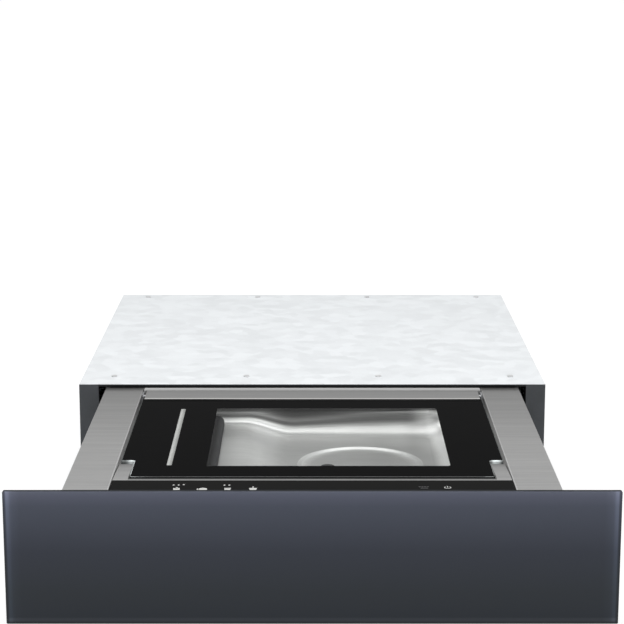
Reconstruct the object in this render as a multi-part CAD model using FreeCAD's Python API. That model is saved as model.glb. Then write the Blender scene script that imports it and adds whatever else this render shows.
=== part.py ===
import FreeCAD, Part
import math
import os
from FreeCAD import Vector

# Vacuum sealing drawer for a 60 cm kitchen niche, drawn with the drawer open and the lid shut.
# X is to the right, Y into the cabinet, Z up. The origin is on the casing's underside,
# centred in width, in the plane of the casing's front flanges. Millimetres.

# Front panel
front_width = 597.0
front_height = 135.0
front_bottom = -4.3
glass_thick = 5.0
carrier_depth = 15.0
carrier_half = 270.0
carrier_low = 3.0
carrier_high = 118.0
carrier_sheet = 2.0
front_gap = 3.0

# Casing
casing_half = 278.0
casing_height = 125.0
casing_depth = 538.0
sheet = 1.2
flange_inner = 255.0
flange_return = 12.0
lip_underside = 122.5
side_screw_depth = 32.0
side_screw_heights = [32.0, 92.0]
side_screw_radius = 2.25
inlet_x = -200.0
inlet_height = 40.0

# Drawer, with lengths taken backwards from the front face of the glass
open_reach = 440.0
closed_reach = glass_thick + carrier_depth + front_gap
travel = open_reach - closed_reach
carrier_back = glass_thick + carrier_depth
drawer_back = 531.0
drawer_half = 222.0
drawer_low = 6.0
deck_plate_top = 111.0
deck_top = 121.0

# Side trims
trim_inner = 200.4
trim_outer = 246.0
trim_skirt_low = 88.0

# Control strip and front bar
control_half = 199.2
bar_reach = 199.6
control_front = 22.0
control_back = 67.5
bar_back = 74.0
control_glass_thick = 3.0
touch_key_xs = [-133.6, -108.5, -83.5, -58.4, 110.0, 132.8]

# Lid
lid_half = 198.2
lid_front = 81.8
lid_back = 405.0
lid_top = 120.3
lid_glass_thick = 6.0
mask_thick = 0.8
notch_inner = 184.2
notch_back = 139.5
mask_margin = 2.2
window_left = -113.0
window_right = 146.0
window_front = 116.0
window_back = 381.0
slit_left = -151.5
slit_right = -144.1
slit_front = 118.0
slit_back = 372.0

# Hinge
pivot_back = 413.0
pivot_height = 116.6
pin_radius = 3.0
pin_inner = 184.0
pin_outer = 200.2
running_gap = 0.05
bar_half = 195.5
bar_front = 385.0
bar_rear = 426.0
bar_plate = 1.2
bar_block_front = 406.0
spring_height = 104.0
bracket_inner = 198.6
bracket_outer = 200.3
bracket_low = 92.0

# Vacuum chamber
mouth_half = 166.0
mouth_front = 102.0
mouth_back = 390.0
chamber_floor = 80.0
shelf_floor = 92.6
ramp_start = -78.0
ramp_end = -20.0
chamber_left_radius = 17.0
chamber_right_radius = 28.0
chamber_end_radius = 14.0
recess_radius = 67.2
recess_x = 53.0
recess_back = 261.5
recess_depth = 2.5
port_x = 17.0
port_back = 248.5
cap_radius = 7.5
port_radius = 5.0
bowl_skin = 1.0
plate_back = 408.0

# Sealing bar
bar_lift = 5.0
carrier_left = -160.0
carrier_right = -102.0
carrier_step = -146.0
carrier_front = 118.0
carrier_rear = 376.0
carrier_underside = 97.0
carrier_top = 104.0
carrier_round = 8.0
seal_bar_x = -147.8
seal_bar_half = 4.0
seal_bar_front = 122.0
seal_bar_back = 372.0
seal_bar_top = 103.5
seal_bar_low = 95.5
piston_radius = 4.0
piston_backs = [170.0, 324.0]

# Runners
runner_length = 500.0
runner_sheet = 1.5
runner_front = 3.0

# Rear compartment
motor_radius = 38.0
motor_left = -90.0
motor_wall = 3.0
head_right = 58.0
head_low = 12.0
head_high = 98.0
head_port_x = 30.0
head_port_height = 60.0
head_port_reach = 8.0
motor_back = 474.0
motor_height = 54.0
shaft_radius = 4.0
fan_x = 150.0
fan_height = 60.0
fan_radius = 27.0
fan_opening = 25.0


def drawer_y(back):
    return back - open_reach


def box(x0, x1, y0, y1, z0, z1):
    return Part.makeBox(x1 - x0, y1 - y0, z1 - z0, Vector(x0, y0, z0))


def drawer_box(x0, x1, back0, back1, z0, z1):
    return box(x0, x1, drawer_y(back0), drawer_y(back1), z0, z1)


def round_bar(radius, start, end):
    run = Vector(*end) - Vector(*start)
    return Part.makeCylinder(radius, run.Length, Vector(*start), run)


def join(shapes):
    whole = shapes[0]
    for shape in shapes[1:]:
        whole = whole.fuse(shape)
    return whole.removeSplitter()


def group(shapes):
    return Part.makeCompound(shapes)


def mirrored(shape):
    return shape.mirror(Vector(0, 0, 0), Vector(1, 0, 0))


def along_y(points, y0, y1):
    # A closed outline of (x, z) points drawn out from y0 to y1.
    corners = [Vector(x, y0, z) for x, z in points]
    face = Part.Face(Part.makePolygon(corners + [corners[0]]))
    return face.extrude(Vector(0, y1 - y0, 0))


def edges_along(shape, axis):
    picked = []
    for edge in shape.Edges:
        if edge.Curve.TypeId != "Part::GeomLine":
            continue
        if abs(abs(edge.tangentAt(edge.FirstParameter).dot(axis)) - 1) < 1e-6:
            picked.append(edge)
    return picked


def save(name, shape):
    shape.exportStep("parts/" + name + ".step")
    print(name, len(shape.Solids), round(shape.Volume / 1000.0, 2), shape.isValid())


def save_pair(name, right_shape):
    save(name + "_right", right_shape)
    save(name + "_left", mirrored(right_shape))


def front_glass():
    bottom = front_bottom
    half = front_width / 2
    panel = drawer_box(-half, half, 0, glass_thick, bottom, bottom + front_height)
    panel = panel.makeFillet(1.5, edges_along(panel, Vector(0, 1, 0)))
    polished = [e for e in panel.Edges if e.BoundBox.YMax < drawer_y(0) + 1e-3]
    return panel.makeChamfer(0.5, polished)


def front_carrier():
    # A pan of 2 mm steel behind the glass, with a folded rim at its open back.
    wall = carrier_sheet
    low = carrier_low
    high = carrier_high
    rim = 14.0
    rim_front = carrier_back - wall
    pan = drawer_box(-carrier_half, carrier_half, glass_thick, carrier_back, low, high)
    hollow_half = carrier_half - wall
    hollow_front = glass_thick + wall
    pan = pan.cut(drawer_box(-hollow_half, hollow_half, hollow_front, rim_front, low + wall, high - wall))
    mouth = carrier_half - rim
    pan = pan.cut(drawer_box(-mouth, mouth, rim_front, carrier_back, low + wall, high - wall))
    pieces = [pan]
    for x in (-180, 0, 180):
        pieces.append(drawer_box(x - 1, x + 1, glass_thick + wall, rim_front, low + wall, high - wall))
    tab = drawer_box(drawer_half - 16, drawer_half, rim_front, carrier_back, low + wall, high - wall)
    return join(pieces + [tab, mirrored(tab)])


def front_buffers():
    pads = []
    y0 = drawer_y(carrier_back)
    y1 = drawer_y(carrier_back + 2.5)
    for x in (-262, 262):
        for z in (14, 106):
            pads.append(round_bar(4.5, (x, y0, z), (x, y1, z)))
    return group(pads)


def casing_base():
    plate = box(-casing_half, casing_half, 0, casing_depth, 0, sheet)
    # Pressed slots let air up to the rear compartment.
    for x in range(-180, 181, 60):
        plate = plate.cut(box(x - 20, x + 20, 440, 446, -1, 3))
        plate = plate.cut(box(x - 20, x + 20, 460, 466, -1, 3))
    return plate


def casing_wall_right():
    top = casing_height - sheet
    wall = box(casing_half - sheet, casing_half, sheet, casing_depth - sheet, sheet, top)
    for z in side_screw_heights:
        start = (casing_half - 5, side_screw_depth, z)
        end = (casing_half + 5, side_screw_depth, z)
        wall = wall.cut(round_bar(side_screw_radius, start, end))
    return wall


def casing_rear():
    top = casing_height - sheet
    panel = box(-casing_half, casing_half, casing_depth - sheet, casing_depth, sheet, top)
    near = casing_depth - 5
    far = casing_depth + 5
    z = inlet_height
    panel = panel.cut(box(inlet_x - 14, inlet_x + 14, near, far, z - 10.5, z + 10.5))
    for row in range(5):
        z = 40 + 10 * row
        for column in range(3):
            x = 110 + 40 * column
            panel = panel.cut(box(x - 15, x + 15, near, far, z - 2, z + 2))
    return panel


def casing_top():
    return box(-casing_half, casing_half, sheet, casing_depth, casing_height - sheet, casing_height)


def front_flange_right():
    face = box(flange_inner, casing_half, 0, sheet, sheet, casing_height)
    fold = box(flange_inner, flange_inner + sheet, sheet, flange_return, sheet, casing_height - sheet)
    return join([face, fold])


def top_lip():
    return box(-flange_inner, flange_inner, 0, sheet, lip_underside, casing_height)


def mains_inlet():
    # A three-pin appliance inlet with a flange outside the rear panel.
    depth = casing_depth
    z = inlet_height
    body = box(inlet_x - 13.5, inlet_x + 13.5, depth - 24, depth, z - 10, z + 10)
    flange = box(inlet_x - 25, inlet_x + 25, depth, depth + 2, z - 11.5, z + 11.5)
    inlet = join([body, flange])
    pocket = box(inlet_x - 12, inlet_x + 12, depth - 17, depth + 3, z - 8.2, z + 8.2)
    pins = [inlet.cut(pocket)]
    for dx, dz in ((-7, -2), (0, 2), (7, -2)):
        x = inlet_x + dx
        pins.append(box(x - 1, x + 1, depth - 17, depth - 3, z + dz - 2, z + dz + 2))
    return group(pins)


def runner_brackets():
    channel = box(241, casing_half - sheet, 14, 503, 16, 70)
    channel = channel.cut(box(243, casing_half, 0, 520, 18, 68))
    return group([channel, mirrored(channel)])


def c_section(web_near, web_far, reach, low, high, y0, y1):
    # web_near and web_far bound the web, reach is where the flanges end.
    web = box(web_near, web_far, y0, y1, low, high)
    lower = box(min(reach, web_near), max(reach, web_far), y0, y1, low, low + runner_sheet)
    upper = box(min(reach, web_near), max(reach, web_far), y0, y1, high - runner_sheet, high)
    return join([web, lower, upper])


def runner_outer_right():
    return c_section(239.5, 241, 228, 20, 66, runner_front, runner_front + runner_length)


def runner_middle_right():
    start = runner_front + 2 - travel / 2
    return c_section(237.5, 239, 226, 23.5, 62.5, start, start + runner_length)


def runner_inner_right():
    start = drawer_y(30)
    return c_section(drawer_half, drawer_half + runner_sheet, 235, 27, 59, start, start + runner_length)


def ball_cage_right():
    # Two strips of balls between the middle and outer members.
    start = runner_front + 60 - travel / 2
    parts = []
    for z in (22.5, 63.5):
        strip = box(231, 236, start, start + 360, z - 0.35, z + 0.35)
        balls = []
        for step in range(18):
            ball = Part.makeSphere(0.9, Vector(233.5, start + 10 + 20 * step, z))
            balls.append(ball)
        parts.append(join([strip] + balls))
    return group(parts)


def latch_body():
    # A push latch on a hollow foot that stands on the casing's base.
    shell = box(-16, 16, 512, casing_depth - sheet, 24, 46)
    shell = shell.cut(round_bar(5 + running_gap, (0, 500, 35), (0, 532, 35)))
    foot = box(-26, 26, 512, casing_depth - sheet, sheet, 24)
    foot = foot.cut(box(-22, 22, 505, 534, sheet + 1.5, 22))
    return join([shell, foot])


def latch_plunger():
    return round_bar(5, (0, 508.8, 35), (0, 526, 35))


def casing_screws():
    heads = []
    for x in (-240, -80, 80, 240):
        z = casing_height
        heads.append(round_bar(3.5, (x, 520, z), (x, 520, z + 1.4)))
        heads.append(round_bar(3.5, (x, 40, z), (x, 40, z + 1.4)))
    return group(heads)


def drawer_floor():
    top = drawer_low + sheet
    floor = drawer_box(-drawer_half, drawer_half, carrier_back, drawer_back, drawer_low, top)
    for x in range(-150, 151, 50):
        floor = floor.cut(drawer_box(x - 3, x + 3, 300, 380, 0, 10))
    return floor


def drawer_wall_right():
    low = drawer_low + sheet
    back = drawer_back - sheet
    return drawer_box(drawer_half - sheet, drawer_half, carrier_back, back, low, deck_plate_top - 1)


def drawer_rear():
    low = drawer_low + sheet
    back = drawer_box(-drawer_half, drawer_half, drawer_back - sheet, drawer_back, low, deck_top - 1)
    y0 = drawer_y(drawer_back - 10)
    y1 = drawer_y(drawer_back + 10)
    grille = round_bar(fan_opening, (fan_x, y0, fan_height), (fan_x, y1, fan_height))
    bars = []
    for dz in range(-20, 21, 10):
        z = fan_height + dz
        bars.append(drawer_box(fan_x - 30, fan_x + 30, drawer_back - sheet, drawer_back, z - 1, z + 1))
    back = back.cut(grille)
    return join([back] + bars)


def side_trim_right():
    top = deck_top
    outline = [
        (trim_inner, deck_plate_top),
        (trim_inner + 1, deck_plate_top),
        (trim_inner + 1, top - 1),
        (trim_outer - 1, top - 1),
        (trim_outer - 1, trim_skirt_low),
        (trim_outer, trim_skirt_low),
        (trim_outer, top),
        (trim_inner, top),
    ]
    trim = along_y(outline, drawer_y(carrier_back), drawer_y(drawer_back - sheet))
    bends = []
    for edge in edges_along(trim, Vector(0, 1, 0)):
        centre = edge.CenterOfMass
        if abs(centre.z - top) < 1e-6:
            bends.append(edge)
    return trim.makeFillet(0.8, bends)


def control_housing():
    low = deck_plate_top
    high = deck_top - control_glass_thick
    tray = drawer_box(-control_half, control_half, carrier_back + 0.5, control_back, low, high)
    return tray.cut(drawer_box(-165, 165, 26, 64, low + 1, high + 1))


def control_glass():
    low = deck_top - control_glass_thick
    strip = drawer_box(-control_half, control_half, control_front, control_back, low, deck_top)
    corners = [e for e in edges_along(strip, Vector(1, 0, 0)) if e.CenterOfMass.z > deck_top - 0.1]
    return strip.makeChamfer(0.3, corners)


def control_board():
    # Each touch key is sensed through a sprung contact between the board and the glass.
    low = deck_plate_top + 1
    board = drawer_box(-160, 160, 28, 62, low, low + 1.6)
    chips = []
    for x in (-120, -40, 40, 96, 140):
        chips.append(drawer_box(x - 6, x + 6, 50, 60, low + 1.6, low + 3.2))
    contacts = [join([board] + chips)]
    low = low + 1.6
    high = deck_top - control_glass_thick
    for x in touch_key_xs:
        y = drawer_y(42)
        stem = round_bar(1.2, (x, y, low), (x, y, high))
        head = round_bar(3.2, (x, y, high - 0.8), (x, y, high))
        contacts.append(join([stem, head]))
    return group(contacts)


def front_bar():
    # The steel bar in front of the lid, with a sloped finger scoop at each front corner.
    low = deck_plate_top
    bar = drawer_box(-bar_reach, bar_reach, control_back, bar_back, low, deck_top)
    y0 = drawer_y(bar_back)
    y1 = drawer_y(notch_back - 1)
    inner = notch_inner + 0.7
    side_view = [(y0, low), (y1, low), (y1, 116.5), (y0 + 12, 120.2), (y0, 120.6)]
    outline = [Vector(inner, y, z) for y, z in side_view]
    face = Part.Face(Part.makePolygon(outline + [outline[0]]))
    scoop = face.extrude(Vector(bar_reach - inner, 0, 0))
    return join([bar, scoop, mirrored(scoop)])


def chamber_volume(grow, top):
    # The space inside the chamber, grown outwards by the given amount.
    left = -mouth_half - grow
    right = mouth_half + grow
    deep = chamber_floor - grow
    shelf = shelf_floor - grow
    y = drawer_y(mouth_front) - grow
    r_left = chamber_left_radius + grow
    r_right = chamber_right_radius + grow
    run = ramp_end - ramp_start
    drop = shelf_floor - chamber_floor
    bend = (run * run + drop * drop) / (4 * drop)
    turn = math.asin(run / 2 / bend)

    def spot(x, z):
        return Vector(x, y, z)

    def upper(angle):
        reach = bend - grow
        return spot(ramp_start + reach * math.sin(angle), shelf_floor - bend + reach * math.cos(angle))

    def lower(angle):
        reach = bend + grow
        return spot(ramp_end - reach * math.sin(angle), chamber_floor + bend - reach * math.cos(angle))

    half = math.sqrt(0.5)
    left_arc = Part.Arc(
        spot(left, shelf + r_left),
        spot(left + r_left * (1 - half), shelf + r_left * (1 - half)),
        spot(left + r_left, shelf),
    )
    right_arc = Part.Arc(
        spot(right - r_right, deep),
        spot(right - r_right * (1 - half), deep + r_right * (1 - half)),
        spot(right, deep + r_right),
    )
    edges = [
        Part.LineSegment(spot(left, top), spot(left, shelf + r_left)).toShape(),
        left_arc.toShape(),
        Part.LineSegment(spot(left + r_left, shelf), upper(0)).toShape(),
        Part.Arc(upper(0), upper(turn / 2), upper(turn)).toShape(),
        Part.Arc(lower(turn), lower(turn / 2), lower(0)).toShape(),
        Part.LineSegment(lower(0), spot(right - r_right, deep)).toShape(),
        right_arc.toShape(),
        Part.LineSegment(spot(right, deep + r_right), spot(right, top)).toShape(),
        Part.LineSegment(spot(right, top), spot(left, top)).toShape(),
    ]
    length = mouth_back - mouth_front + 2 * grow
    block = Part.Face(Part.Wire(edges)).extrude(Vector(0, length, 0))
    ends = []
    for edge in block.Edges:
        bounds = edge.BoundBox
        if bounds.YLength > 1e-6 or bounds.ZMin > top - 1e-6:
            continue
        ends.append(edge)
    return block.makeFillet(chamber_end_radius + grow, ends)


def chamber_recess(grow):
    low = chamber_floor - recess_depth - grow
    y = drawer_y(recess_back)
    return round_bar(recess_radius + grow, (recess_x, y, low), (recess_x, y, chamber_floor + 3))


def chamber_bowl():
    # One pressed sheet: a wide deck plate with the chamber hanging under its mouth.
    low = deck_plate_top - bowl_skin
    plate = drawer_box(-drawer_half, drawer_half, carrier_back, plate_back, low, deck_plate_top)
    outside = chamber_volume(bowl_skin, deck_plate_top)
    outside = outside.fuse(chamber_recess(bowl_skin))
    inside = chamber_volume(0, deck_plate_top + 4)
    inside = inside.fuse(chamber_recess(0))
    bowl = plate.fuse(outside).cut(inside)
    y = drawer_y(port_back)
    bowl = bowl.cut(round_bar(port_radius, (port_x, y, 70), (port_x, y, 90)))
    for back in piston_backs:
        y = drawer_y(back)
        bowl = bowl.cut(round_bar(piston_radius + 0.4, (seal_bar_x, y, 80), (seal_bar_x, y, 100)))
    return bowl.removeSplitter()


def port_cap():
    # A black cap with side slots over the suction port.
    y = drawer_y(port_back)
    floor = chamber_floor - recess_depth
    stem = round_bar(port_radius, (port_x, y, 68), (port_x, y, floor))
    dome = round_bar(cap_radius, (port_x, y, floor), (port_x, y, floor + 4))
    cap = join([stem, dome])
    cap = cap.cut(round_bar(3, (port_x, y, 60), (port_x, y, floor + 2.5)))
    for angle in range(0, 180, 60):
        slot = Part.makeBox(20, 1.6, 1.5, Vector(-10, -0.8, floor + 0.8))
        slot.rotate(Vector(0, 0, 0), Vector(0, 0, 1), angle)
        slot.translate(Vector(port_x, y, 0))
        cap = cap.cut(slot)
    return cap


def seal_bar_carrier():
    low = shelf_floor
    front = carrier_front
    rear = carrier_rear
    body = drawer_box(carrier_left, carrier_right, front, rear, carrier_underside, carrier_top)
    foot = drawer_box(carrier_step, carrier_right, front, rear, low, carrier_underside)
    block = join([body, foot])
    top_edges = [e for e in block.Edges if e.BoundBox.ZMin > carrier_top - 0.1]
    right_edge = [e for e in top_edges if e.BoundBox.XMin > carrier_right - 0.1]
    block = block.makeFillet(carrier_round, right_edge)
    clear = seal_bar_half + 0.5
    left = seal_bar_x - clear
    right = seal_bar_x + clear
    block = block.cut(drawer_box(left, right, seal_bar_front - 0.5, seal_bar_back + 0.5, 95, 106))
    for back in piston_backs:
        y = drawer_y(back)
        block = block.cut(round_bar(piston_radius + 0.4, (seal_bar_x, y, 90), (seal_bar_x, y, 100)))
    return block


def seal_bar():
    bar = drawer_box(
        seal_bar_x - seal_bar_half, seal_bar_x + seal_bar_half, seal_bar_front, seal_bar_back,
        seal_bar_low, seal_bar_top - 0.4,
    )
    top_edges = [e for e in edges_along(bar, Vector(0, 1, 0)) if e.CenterOfMass.z > seal_bar_top - 1]
    return bar.makeFillet(1.0, top_edges)


def heater_wires():
    wires = []
    high = seal_bar_top
    front = seal_bar_front + 1
    back = seal_bar_back - 1
    for dx in (-1.6, 1.6):
        x = seal_bar_x + dx
        wires.append(drawer_box(x - 0.8, x + 0.8, front, back, high - 0.4, high))
    return group(wires)


def lift_pistons():
    rods = []
    for back in piston_backs:
        y = drawer_y(back)
        rods.append(round_bar(piston_radius, (seal_bar_x, y, 78), (seal_bar_x, y, seal_bar_low)))
    return group(rods)


def lift_cylinders():
    cups = []
    high = shelf_floor - 1
    bore = piston_radius + running_gap
    for back in piston_backs:
        y = drawer_y(back)
        cup = round_bar(9, (seal_bar_x, y, 66), (seal_bar_x, y, high))
        cup = cup.cut(round_bar(bore, (seal_bar_x, y, 69), (seal_bar_x, y, high + 1)))
        nozzle = round_bar(2.5, (seal_bar_x + 8, y, 72), (seal_bar_x + 16, y, 72))
        cups.append(join([cup, nozzle]))
    return group(cups)


def notched_plate(low, high, margin):
    # The lid's outline: a rectangle whose two front corners are cut away for the fingers.
    inner = notch_inner - margin
    outer = lid_half - margin
    front = lid_front + margin
    notch = notch_back + margin
    corners = [
        (-inner, front),
        (inner, front),
        (inner, notch),
        (outer, notch),
        (outer, lid_back),
        (-outer, lid_back),
        (-outer, notch),
        (-inner, notch),
    ]
    points = [Vector(x, drawer_y(back), low) for x, back in corners]
    face = Part.Face(Part.makePolygon(points + [points[0]]))
    plate = face.extrude(Vector(0, 0, high - low))
    return plate.makeFillet(2.5, edges_along(plate, Vector(0, 0, 1)))


def lid_glass():
    plate = notched_plate(lid_top - lid_glass_thick, lid_top, 0)
    rim = [e for e in plate.Edges if e.BoundBox.ZMin > lid_top - 1e-6]
    return plate.makeChamfer(1.2, rim)


def lid_mask():
    # The black sheet bonded under the glass, open at the window and at the slit over the sealing bar.
    high = lid_top - lid_glass_thick
    sheet_black = notched_plate(high - mask_thick, high, mask_margin)
    window = drawer_box(window_left, window_right, window_front, window_back, high - 5, high + 5)
    window = window.makeFillet(3, edges_along(window, Vector(0, 0, 1)))
    slit = drawer_box(slit_left, slit_right, slit_front, slit_back, high - 5, high + 5)
    slit = slit.makeFillet(2.5, edges_along(slit, Vector(0, 0, 1)))
    return sheet_black.cut(window).cut(slit)


def lid_seal():
    low = deck_plate_top + 0.3
    high = lid_top - lid_glass_thick - mask_thick
    near = 3.0
    far = 11.0

    def frame_block(margin, z0, z1):
        block = drawer_box(
            -mouth_half - margin, mouth_half + margin, mouth_front - margin, mouth_back + margin, z0, z1,
        )
        return block.makeFillet(10 + margin, edges_along(block, Vector(0, 0, 1)))

    ring = frame_block(far, low, high).cut(frame_block(near, low - 1, high + 1))
    return ring


def counter_bar():
    high = lid_top - lid_glass_thick - mask_thick
    low = seal_bar_top + bar_lift + 0.5
    return drawer_box(seal_bar_x - 5, seal_bar_x + 5, seal_bar_front - 2, seal_bar_back + 2, low, high)


def hinge_bar():
    plate = drawer_box(-bar_half, bar_half, bar_front, bar_rear, lid_top, lid_top + bar_plate)
    block = drawer_box(-bar_half, bar_half, bar_block_front, bar_rear, 113, lid_top)
    bar = join([plate, block])
    pocket = drawer_box(-180, 180, bar_block_front + 3, bar_rear - 2, 112, lid_top - 1)
    bar = bar.cut(pocket)
    y = drawer_y(pivot_back)
    for side in (-1, 1):
        start = (side * pin_inner, y, pivot_height)
        end = (side * pin_outer, y, pivot_height)
        bar = bar.cut(round_bar(pin_radius, start, end))
    return bar


def hinge_pins():
    pins = []
    y = drawer_y(pivot_back)
    for side in (-1, 1):
        start = (side * pin_inner, y, pivot_height)
        end = (side * pin_outer, y, pivot_height)
        pins.append(round_bar(pin_radius, start, end))
    return group(pins)


def hinge_brackets():
    # Each plate holds a pin and, lower down, the post of the lid spring.
    y = drawer_y(pivot_back)
    low = bracket_low
    plate = drawer_box(bracket_inner, bracket_outer, plate_back + 0.3, bar_rear, low, 120)
    foot = drawer_box(bracket_outer, drawer_half - sheet, 409, bar_rear, low, low + 2)
    post = round_bar(3.8, (bracket_outer, y, spring_height), (218, y, spring_height))
    bracket = join([plate, foot, post])
    near = (bracket_inner - 3, y, pivot_height)
    far = (bracket_outer + 3, y, pivot_height)
    bore = round_bar(pin_radius + running_gap, near, far)
    bracket = bracket.cut(bore)
    return group([bracket, mirrored(bracket)])


def hinge_springs():
    # A torsion spring stands round each post, under the side trim.
    wire = 0.8
    coil = 5.0
    pitch = 2.2
    turns = 5
    helix = Part.makeHelix(pitch, pitch * turns, coil)
    section = Part.Wire(Part.makeCircle(wire, Vector(coil, 0, 0), Vector(0, 1, 0)))
    spring = Part.Wire(helix).makePipeShell([section], True, False)
    spring.rotate(Vector(0, 0, 0), Vector(0, 1, 0), 90)
    spring.translate(Vector(203.5, drawer_y(pivot_back), spring_height))
    return group([spring, mirrored(spring)])


def rear_cover():
    top = drawer_box(-bar_reach, bar_reach, 427.6, drawer_back, deck_top - 1, deck_top)
    fold = drawer_box(-bar_reach, bar_reach, 427.6, 428.6, 98, deck_top - 1)
    return join([top, fold])


def motor_case():
    y = drawer_y(motor_back)
    z = motor_height
    left = motor_left
    inside = left + motor_wall
    can = round_bar(motor_radius, (left, y, z), (0, y, z))
    can = can.cut(round_bar(motor_radius - motor_wall, (inside, y, z), (-motor_wall, y, z)))
    can = can.cut(round_bar(shaft_radius + running_gap, (left - 5, y, z), (5, y, z)))
    for step in range(6):
        angle = math.radians(60 * step)
        hole_y = y + 26 * math.cos(angle)
        hole_z = z + 26 * math.sin(angle)
        can = can.cut(round_bar(4, (left - 5, hole_y, hole_z), (left + 5, hole_y, hole_z)))
    return can


def pump_mounts():
    # A saddle under the motor and four feet under the pump head.
    low = drawer_low + sheet
    y = drawer_y(motor_back)
    saddle = drawer_box(-80, -10, motor_back - 30, motor_back + 30, low, 30)
    saddle = saddle.cut(round_bar(motor_radius, (-100, y, motor_height), (20, y, motor_height)))
    feet = [saddle]
    for x in (10, 48):
        for back in (motor_back - 26, motor_back + 26):
            feet.append(round_bar(6, (x, drawer_y(back), low), (x, drawer_y(back), head_low)))
    return group(feet)


def pump_head():
    y = drawer_y(motor_back)
    z = motor_height
    half = 36.0
    head = drawer_box(0, head_right, motor_back - half, motor_back + half, head_low, head_high)
    head = head.makeFillet(5, edges_along(head, Vector(1, 0, 0)))
    head = head.cut(round_bar(26, (8, y, z), (48, y, z)))
    head = head.cut(round_bar(shaft_radius + running_gap, (-1, y, z), (54, y, z)))
    ribs = []
    for step in range(5):
        x = 8 + 10 * step
        ribs.append(drawer_box(x, x + 3, motor_back - 30, motor_back + 30, head_high, head_high + 10))
    mouth = (head_port_x, drawer_y(motor_back - half - head_port_reach), head_port_height)
    port = round_bar(6, mouth, (head_port_x, drawer_y(motor_back - half), head_port_height))
    return join([head, port] + ribs)


def pump_rotor():
    y = drawer_y(motor_back)
    z = motor_height
    shaft = round_bar(shaft_radius, (-112, y, z), (50, y, z))
    core = round_bar(24, (-76, y, z), (-16, y, z))
    hub = round_bar(9, (-111, y, z), (-98, y, z))
    crank = round_bar(12, (20, y + 5, z), (34, y + 5, z))
    blades = []
    for step in range(8):
        blade = Part.makeBox(11, 2, 24, Vector(-110, -1, 7))
        blade.rotate(Vector(0, 0, 0), Vector(1, 0, 0), 45 * step)
        blade.translate(Vector(0, y, z))
        blades.append(blade)
    return join([shaft, core, hub, crank] + blades)


def fan_housing():
    y0 = 512.0
    y1 = drawer_back - sheet
    half = 31.0
    frame = drawer_box(fan_x - half, fan_x + half, y0, y1, fan_height - half, fan_height + half)
    low_y = drawer_y(y0 - 1)
    high_y = drawer_y(y1 + 1)
    frame = frame.cut(round_bar(29, (fan_x, low_y, fan_height), (fan_x, high_y, fan_height)))
    hub = round_bar(11, (fan_x, drawer_y(y0), fan_height), (fan_x, drawer_y(y0 + 4), fan_height))
    struts = [drawer_box(fan_x - 30, fan_x + 30, y0, y0 + 3, fan_height - 2, fan_height + 2)]
    struts.append(drawer_box(fan_x - 2, fan_x + 2, y0, y0 + 3, fan_height - 30, fan_height + 30))
    body = join([frame, hub] + struts)
    start = (fan_x, drawer_y(y0 + 1), fan_height)
    end = (fan_x, drawer_y(y0 + 5), fan_height)
    bore = round_bar(2 + running_gap, start, end)
    return body.cut(bore)


def fan_rotor():
    y0 = 516.6
    axle = round_bar(2, (fan_x, drawer_y(y0 - 3.2), fan_height), (fan_x, drawer_y(y0 + 2), fan_height))
    hub = round_bar(11, (fan_x, drawer_y(y0), fan_height), (fan_x, drawer_y(y0 + 9), fan_height))
    blades = []
    for step in range(7):
        blade = Part.makeBox(1.6, 10, fan_radius - 10, Vector(-0.8, -5, 10))
        blade.rotate(Vector(0, 0, 18), Vector(0, 0, 1), 32)
        blade.rotate(Vector(0, 0, 0), Vector(0, 1, 0), 360.0 / 7 * step)
        blade.translate(Vector(fan_x, drawer_y(y0 + 4.5), fan_height))
        blades.append(blade)
    rotor = join([axle, hub] + blades)
    return rotor.common(drawer_box(fan_x - 40, fan_x + 40, y0 - 3.2, y0 + 9.6, 0, 120))


def transformer():
    low = drawer_low + sheet
    core = drawer_box(100, 160, 436, 486, low, 56)
    core = core.cut(drawer_box(110, 120, 430, 490, 17, 46))
    core = core.cut(drawer_box(140, 150, 430, 490, 17, 46))
    coil = drawer_box(110.5, 149.5, 428, 494, 17.5, 45.5)
    coil = coil.makeFillet(3, edges_along(coil, Vector(0, 0, 1)))
    coil = coil.cut(drawer_box(120, 140, 436, 486, 10, 60))
    return group([core, coil])


def power_board():
    low = 14.0
    board = drawer_box(-206, -118, 420, 520, low, low + 1.6)
    top = low + 1.6
    parts = [drawer_box(-200, -184, 430, 470, top, top + 30)]
    for step in range(3):
        x = -170 + 20 * step
        parts.append(round_bar(8, (x, drawer_y(500), top), (x, drawer_y(500), top + 26)))
    parts.append(drawer_box(-150, -126, 430, 446, top, top + 14))
    posts = [join([board] + parts)]
    for x in (-202, -122):
        for back in (424, 516):
            posts.append(round_bar(3, (x, drawer_y(back), drawer_low + sheet), (x, drawer_y(back), low)))
    return group(posts)


def valve_block():
    # A magnet valve that lets air back into the chamber, on its bent foot.
    low = drawer_low + sheet
    foot = drawer_box(62, 92, 380, 402, low, low + 2)
    web = drawer_box(62, 64, 380, 402, low + 2, 30)
    body = drawer_box(60.5, 92, 380, 402, 30, 60)
    coil = round_bar(9, (76, drawer_y(391), 60), (76, drawer_y(391), 76))
    stub = round_bar(3, (76, drawer_y(370), 45), (76, drawer_y(380), 45))
    return join([body, coil, stub, foot, web])


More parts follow.
